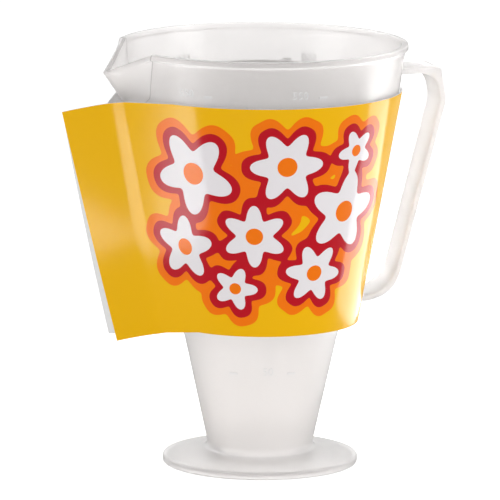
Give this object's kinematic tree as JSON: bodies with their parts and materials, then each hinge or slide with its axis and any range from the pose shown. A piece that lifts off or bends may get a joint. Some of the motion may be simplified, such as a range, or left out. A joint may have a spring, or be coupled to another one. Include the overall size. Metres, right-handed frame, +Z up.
{
  "type": "measuring cup",
  "caption": "Translucent moulded measuring cup with a pouring spout, strap handle, tapering stem and round foot, wearing a loose printed card sleeve.",
  "frame": {"origin": "on the axis of the bowl, stem and foot, in the plane that the foot stands on", "axes": "+Z up along the cup's axis, +X towards the handle, so that the spout points to -X"},
  "size_m": [0.1456, 0.1094, 0.16],
  "materials": {
    "cup_plastic": "translucent natural polypropylene, softly glossy",
    "printed_card": "glossy coated card, printed outside and plain white inside"
  },
  "bodies": {
    "root": {"cup": "cup_plastic", "printed_sleeve": "printed_card"}
  },
  "joints": []
}
